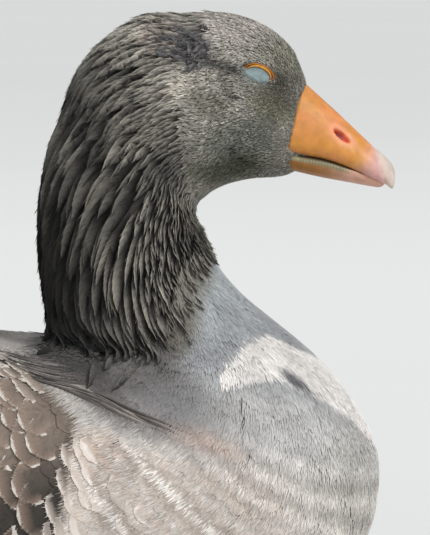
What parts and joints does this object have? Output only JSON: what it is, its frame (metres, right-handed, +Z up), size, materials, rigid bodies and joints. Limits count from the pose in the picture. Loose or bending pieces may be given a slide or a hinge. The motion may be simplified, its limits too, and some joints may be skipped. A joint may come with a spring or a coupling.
{
  "type": "domestic goose",
  "caption": "Life-size still model of a grey domestic goose dozing on its belly, neck drawn back, bill shut, wings folded and feet tucked under.",
  "frame": {"origin": "on the floor under the middle of the bird's bounding box", "axes": "+X towards the bill, +Y to the bird's left, +Z up"},
  "size_m": [0.55, 0.228, 0.3144],
  "materials": {
    "grey_plumage": "matte",
    "neck_plumage": "matte",
    "pale_plumage": "matte",
    "wing_plumage": "matte",
    "tail_plumage": "matte",
    "bill_horn": "satin",
    "nail_horn": "satin",
    "eye_membrane": "gloss",
    "foot_skin": "satin",
    "claw_horn": "satin"
  },
  "bodies": {
    "root": {"head": "grey_plumage", "neck_upper": "neck_plumage", "neck_lower": "neck_plumage", "breast": "pale_plumage", "trunk": "pale_plumage", "tail": "tail_plumage", "bill_upper": "bill_horn", "bill_lower": "bill_horn", "bill_nail": "nail_horn", "eye_left": "eye_membrane", "wing_left": "wing_plumage", "primaries_left": "wing_plumage", "leg_left": "foot_skin", "claw_left_inner": "claw_horn", "claw_left_middle": "claw_horn", "claw_left_outer": "claw_horn", "eye_right": "eye_membrane", "wing_right": "wing_plumage", "primaries_right": "wing_plumage", "leg_right": "foot_skin", "claw_right_inner": "claw_horn", "claw_right_middle": "claw_horn", "claw_right_outer": "claw_horn"}
  },
  "joints": []
}
